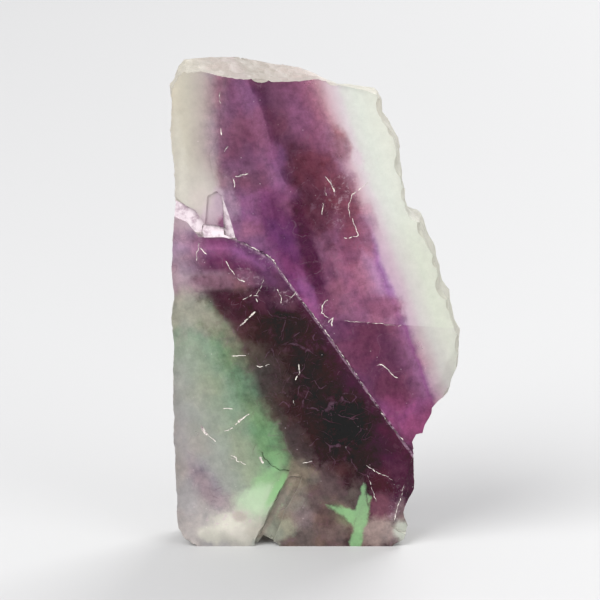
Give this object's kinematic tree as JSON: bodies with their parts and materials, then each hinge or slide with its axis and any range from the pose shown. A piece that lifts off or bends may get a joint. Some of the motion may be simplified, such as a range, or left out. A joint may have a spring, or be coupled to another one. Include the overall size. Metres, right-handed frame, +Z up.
{
  "type": "polished fluorite slab",
  "caption": "Upright slab sawn from banded purple and green fluorite, with two polished faces, a broken rim, a stepped split across the front and a flat foot.",
  "frame": {"origin": "on the ground under the middle of the slab", "axes": "+Z up along the slab's height, +Y from the show face to the back face, +X to the right as the show face is seen"},
  "size_m": [0.0476, 0.012, 0.08],
  "materials": {
    "fluorite": "polished"
  },
  "bodies": {
    "root": {"fluorite_slab": "fluorite"}
  },
  "joints": []
}
